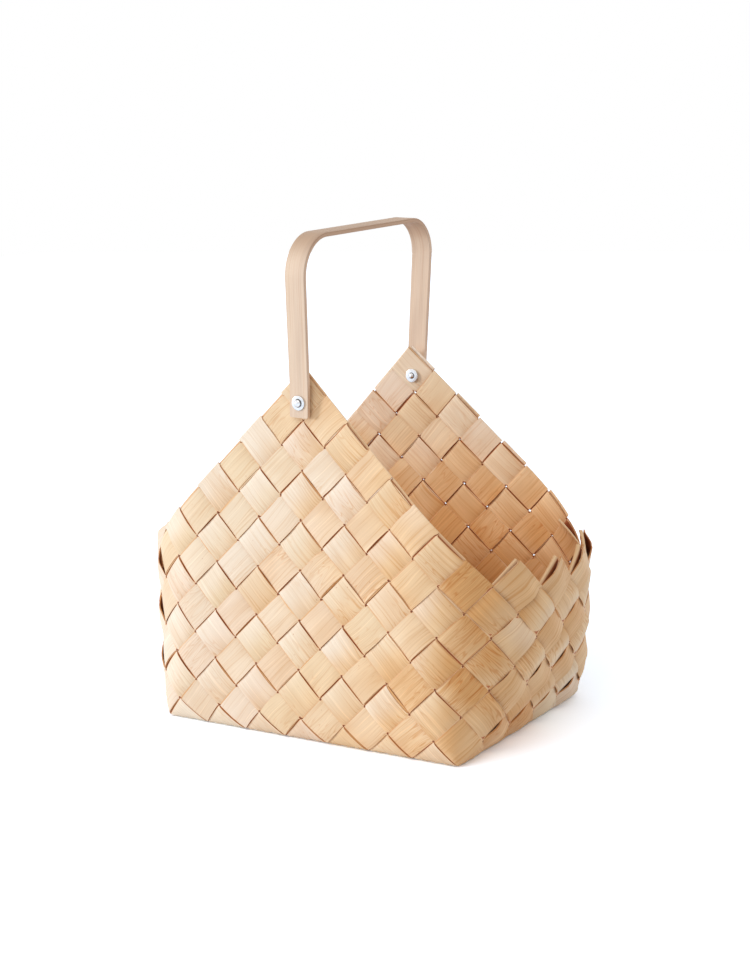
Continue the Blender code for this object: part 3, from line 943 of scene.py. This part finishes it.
def eased(points, corner, trim, count):
    """The polyline with one corner replaced by an arc that starts a trim away from it."""
    before, tip, after = (Vector(points[corner + k]) for k in (-1, 0, 1))
    enter = tip + (before - tip).normalized() * trim
    leave = tip + (after - tip).normalized() * trim
    half = (before - tip).angle(after - tip) / 2
    middle = enter.lerp(leave, 0.5)
    centre = tip + (middle - tip).normalized() * (trim / math.cos(half))
    radius = (enter - centre).length
    outward, sideways = (middle - centre).normalized(), (leave - enter).normalized()
    arc = []
    for k in range(count + 1):
        angle = (k / count - 0.5) * (math.pi - 2 * half)
        arc.append(tuple(centre + (outward * math.cos(angle) + sideways * math.sin(angle)) * radius))
    return points[:corner] + arc + points[corner + 1:]


def handle_line():
    """Inner face of the handle from the front foot to the back one, as (y, z) from the rivets' axis."""
    back_top = HANDLE_TOP - HANDLE_THICKNESS - RIVET_HEIGHT
    front_top = back_top - BAR_RISE
    splayed = FOOT_INNER + HANDLE_SPLAY
    front = [(-FOOT_INNER, -FOOT_LENGTH), (-FOOT_INNER, FOOT_STRAIGHT), (-splayed, front_top)]
    back = [(splayed, back_top), (FOOT_INNER, FOOT_STRAIGHT), (FOOT_INNER, -FOOT_LENGTH)]
    points = front + back
    rounds = ((4, KNEE_TRIM, KNEE_STEPS), (3, HANDLE_BEND, BEND_STEPS), (2, HANDLE_BEND, BEND_STEPS))
    for corner, trim, count in (*rounds, (1, KNEE_TRIM, KNEE_STEPS)):
        points = eased(points, corner, trim, count)
    line = [points[0]]
    for start, stop in zip(points, points[1:]):
        start, stop = Vector(start), Vector(stop)
        pieces = max(1, round((stop - start).length / STRAIGHT_STEP))
        line += [tuple(start.lerp(stop, (k + 1) / pieces)) for k in range(pieces)]
    return np.array(line), front_top


def handle_section():
    """Section of the handle, once round, as shares of half its width and depths from its inner face."""
    middle = [HANDLE_THICKNESS * share for share in SIDE_SHARES]
    sides = [HANDLE_EDGE, *middle, HANDLE_THICKNESS - HANDLE_EDGE]
    ring = [(-1, through) for through in sides]
    ring += [(share, HANDLE_THICKNESS) for share in FACE_SHARES]
    ring += [(1, through) for through in sides[::-1]]
    ring += [(share, 0) for share in FACE_SHARES[::-1]]
    return ring


def handle_half(z, top, from_foot):
    """Half the handle's width: it widens from its straight feet up, and the feet's corners are eased."""
    share = min(max((z - FOOT_STRAIGHT) / (top - FOOT_STRAIGHT), 0), 1)
    half = (FOOT_WIDTH + (HANDLE_WIDTH - FOOT_WIDTH) * share) / 2
    short = max(FOOT_CORNER - from_foot, 0)
    return half - FOOT_CORNER + math.sqrt(FOOT_CORNER ** 2 - short ** 2)


def handle(finish):
    """A flat strip, bent to a hoop, that stands a little off upright."""
    line, top = handle_line()
    foot = [line[0] + (0, FOOT_CORNER * share) for share in FOOT_CORNER_SHARES]
    far_foot = [line[-1] + (0, FOOT_CORNER * share) for share in FOOT_CORNER_SHARES[::-1]]
    line = np.array(foot + list(line[1:-1]) + far_foot)
    steps = unit(np.diff(line, axis=0))
    tangents = unit(np.concatenate((steps[:1], steps)) + np.concatenate((steps, steps[-1:])))
    along = np.concatenate(([0], np.cumsum(np.linalg.norm(np.diff(line, axis=0), axis=1))))
    lean, upright = math.sin(HANDLE_LEAN), math.cos(HANDLE_LEAN)
    ring = handle_section()
    count = len(ring)
    verts, grain, held = [], [], []
    for (y, z), (ahead_y, ahead_z), s in zip(line, tangents, along):
        half = handle_half(z, top, min(s, along[-1] - s))
        for share, through in ring:
            x, out_y, out_z = share * half, y - ahead_z * through, z + ahead_y * through
            verts.append((x * upright + out_z * lean, out_y, RIVET_HEIGHT + out_z * upright - x * lean))
            grain.append((s, x, through))
            held.append(ahead_y)
    faces, cut = [], []
    for k in range(len(line) - 1):
        for c in range(count):
            d = (c + 1) % count
            faces.append((k * count + c, k * count + d, (k + 1) * count + d, (k + 1) * count + c))
            cut.append(ring[c][0] == ring[d][0])
    last = (len(line) - 1) * count
    faces += [tuple(range(count))[::-1], tuple(range(last, last + count))]
    cut += [1, 1]
    mesh = bpy.data.meshes.new("handle_laminate")
    mesh.from_pydata(verts, [], faces)
    keep(mesh, "grain", "FLOAT_VECTOR", "POINT", np.array(grain))
    # How level the strip runs, for the bar's handling wear and painted shade
    keep(mesh, "grip_and_bar_shade", "FLOAT", "POINT", np.array(held))
    keep(mesh, "cut_edge", "FLOAT", "FACE", np.array(cut))
    face_outwards(mesh)
    finish_piece("handle_laminate", mesh, finish, "handle", "handle")


def face_outwards(mesh):
    """Close up repeated points, drop flat faces and turn the rest outwards."""
    bm = bmesh.new()
    bm.from_mesh(mesh)
    bmesh.ops.remove_doubles(bm, verts=bm.verts, dist=MM ** 2)
    bmesh.ops.dissolve_degenerate(bm, edges=bm.edges, dist=MM ** 2)
    bmesh.ops.recalc_face_normals(bm, faces=bm.faces)
    bm.to_mesh(mesh)
    bm.free()


# Rivets and washers

TURNED_STEPS = 64
ROUND_STEPS = 4
DOME_STEPS = 12
TURNED_EDGE = 0.0003


def turned_piece(name, profile, closed, side, finish, node, seats):
    """A round piece on the rivets' axis; heights in its profile are distances out from the middle."""
    verts, faces = [], []
    for k in range(TURNED_STEPS):
        angle = math.tau * k / TURNED_STEPS
        for radius, height in profile:
            x, up = radius * math.cos(angle), radius * math.sin(angle)
            verts.append((x, side * height, RIVET_HEIGHT + up))
    count = len(profile)
    for k in range(TURNED_STEPS):
        here, after = k * count, (k + 1) % TURNED_STEPS * count
        for c in range(count if closed else count - 1):
            d = (c + 1) % count
            faces.append((here + c, here + d, after + d, after + c))
    mesh = bpy.data.meshes.new(name)
    mesh.from_pydata(verts, [], faces)
    grain = [(x, math.hypot(x, z - RIVET_HEIGHT), z - RIVET_HEIGHT) for x, _, z in verts]
    keep(mesh, "grain", "FLOAT_VECTOR", "POINT", np.array(grain))
    nearest_seat = [seats[int(side * y < SEAT_OUTER)] for _, y, _ in verts]
    keep(mesh, "seat", "FLOAT", "POINT", np.array(nearest_seat))
    face_outwards(mesh)
    finish_piece(name, mesh, finish, "basket", node)


def quarter_round(radius, height, start, count):
    """Points of a quarter circle that begins at an angle from straight up and turns outwards."""
    angles = [start + math.pi / 2 * k / count for k in range(count + 1)]
    return [(radius * math.sin(angle), height * math.cos(angle)) for angle in angles]


def washer_profile(low, thickness):
    """A washer's section, from its bore's top round its eased rim to its bore's foot."""
    high = low + thickness
    bore, rim = SHANK_RADIUS + BORE_CLEARANCE, WASHER_RADIUS - TURNED_EDGE
    upper = quarter_round(TURNED_EDGE, TURNED_EDGE, 0, ROUND_STEPS)
    lower = quarter_round(TURNED_EDGE, TURNED_EDGE, math.pi / 2, ROUND_STEPS)
    edge = [(rim + r, high - TURNED_EDGE + h) for r, h in upper]
    edge += [(rim + r, low + TURNED_EDGE + h) for r, h in lower]
    return [(bore, high), *edge, (bore, low)]


def rivet_profile():
    """A rivet's outline, from the top of its domed head down its shank to the end of its tail."""
    head = [(r, CAP_SEAT + h) for r, h in quarter_round(HEAD_RADIUS, HEAD_HEIGHT, 0, DOME_STEPS)]
    tail = [(r, TAIL_SEAT + h) for r, h in quarter_round(TAIL_RADIUS, TAIL_HEIGHT, math.pi / 2, DOME_STEPS)]
    return head + [(SHANK_RADIUS, CAP_SEAT), (SHANK_RADIUS, TAIL_SEAT)] + tail


def fastenings(finish):
    """A rivet and its three washers through each peak."""
    seats = (HEAD_RADIUS, TAIL_RADIUS)
    washers = (
        ("cap_washer", FOOT_OUTER + LAYER_GAP, WASHER_THICKNESS),
        ("spacer", SEAT_OUTER, SPACER_THICKNESS),
        ("inner_washer", SEAT_INNER - WASHER_THICKNESS, WASHER_THICKNESS),
    )
    for place, side in (("front", -1), ("back", 1)):
        node = f"rivet_{place}"
        turned_piece(f"turned_{node}", rivet_profile(), False, side, finish, node, seats)
        for kind, low, thickness in washers:
            node = f"{kind}_{place}"
            turned_piece(f"turned_{node}", washer_profile(low, thickness), True, side, finish, node, seats)


# Studio

CAMERA_PLACE = (0.8297, -1.2621, 0.4910)
CAMERA_YAW = math.radians(-32.989)
CAMERA_PITCH = math.radians(-10.799)
CAMERA_ROLL = math.radians(-2.153)
CAMERA_LENS = 64.95
SENSOR_WIDTH = 36
LIGHT_AIM = Vector((0, 0, 0.15))
SKY_LIGHT = 0.50
PAPER = colour(0.84, 0.85, 0.87)
SEEN_PAPER = colour(1.60, 1.76, 1.96)
FLOOR_REACH = 6.0
FLOOR_DROP = 0.0003
KEY_PLACE = Vector((-2.00, -1.35, 0.45))
KEY_LIGHT = 1.48
KEY_SOFTNESS = math.radians(12)
FILL_PLACE = Vector((0.95, 1.8, 0.45))
FILL_LIGHT = 0.72
FILL_SOFTNESS = math.radians(40)
TOP_PLACE = Vector((0.1, -1.2, 1.4))
TOP_LIGHT = 0.72
TOP_SOFTNESS = math.radians(50)


def sky():
    """A plain white studio that the camera sees as white, and that lights the object less."""
    world = bpy.data.worlds.new("studio_sky")
    bpy.context.scene.world = world
    finish = Finish(world)
    strength = finish.seen() * (1 - SKY_LIGHT) + SKY_LIGHT
    glow = finish.node("ShaderNodeBackground", sockets={"Color": WHITE, "Strength": strength})
    finish.node("ShaderNodeOutputWorld", sockets={"Surface": glow.outputs[0]})


def floor():
    """Pale paper that the camera sees as white, with the object's shadow on it."""
    finish = new_material("studio_paper")
    shade = finish.blend(finish.seen(), PAPER, SEEN_PAPER)
    paper = finish.node("ShaderNodeBsdfDiffuse", sockets={"Color": shade})
    finish.node("ShaderNodeOutputMaterial", sockets={"Surface": paper.outputs[0]})
    mesh = bpy.data.meshes.new("studio_floor")
    corners = [(x * FLOOR_REACH, y * FLOOR_REACH, 0) for x, y in ((-1, -1), (1, -1), (1, 1), (-1, 1))]
    mesh.from_pydata(corners, [], [(0, 1, 2, 3)])
    mesh.materials.append(finish.owner)
    held = bpy.data.objects.new("studio_floor", mesh)
    held.location = (0, 0, -FLOOR_DROP)
    bpy.context.scene.collection.objects.link(held)


def soft_light(name, place, strength, softness):
    """A broad, even light that shines on the basket from a place."""
    lamp = bpy.data.lights.new(name, "SUN")
    lamp.energy = strength
    lamp.angle = softness
    held = bpy.data.objects.new(name, lamp)
    held.location = place
    held.rotation_euler = (LIGHT_AIM - place).to_track_quat("-Z", "Y").to_euler()
    bpy.context.scene.collection.objects.link(held)


def camera():
    """A lens at the photograph's viewing angle."""
    ahead = Vector((
        math.sin(CAMERA_YAW) * math.cos(CAMERA_PITCH),
        math.cos(CAMERA_YAW) * math.cos(CAMERA_PITCH),
        math.sin(CAMERA_PITCH),
    ))
    level = Vector((math.cos(CAMERA_YAW), -math.sin(CAMERA_YAW), 0))
    upright = level.cross(ahead)
    right = level * math.cos(CAMERA_ROLL) + upright * math.sin(CAMERA_ROLL)
    up = upright * math.cos(CAMERA_ROLL) - level * math.sin(CAMERA_ROLL)
    lens = bpy.data.cameras.new("studio_camera")
    lens.lens = CAMERA_LENS
    lens.sensor_width = SENSOR_WIDTH
    held = bpy.data.objects.new("studio_camera", lens)
    held.matrix_world = Matrix.Translation(CAMERA_PLACE) @ Matrix((right, up, -ahead)).transposed().to_4x4()
    bpy.context.scene.collection.objects.link(held)
    bpy.context.scene.camera = held


camera()
sky()
floor()
soft_light("key_light", KEY_PLACE, KEY_LIGHT, KEY_SOFTNESS)
soft_light("fill_light", FILL_PLACE, FILL_LIGHT, FILL_SOFTNESS)
soft_light("top_light", TOP_PLACE, TOP_LIGHT, TOP_SOFTNESS)
plait({slot: veneer(f"sliced_{slot}", *looks) for slot, looks in BIRCHES.items()})
handle(bent_birch())
fastenings(polished_steel())

bpy.context.scene.view_settings.view_transform = "Standard"
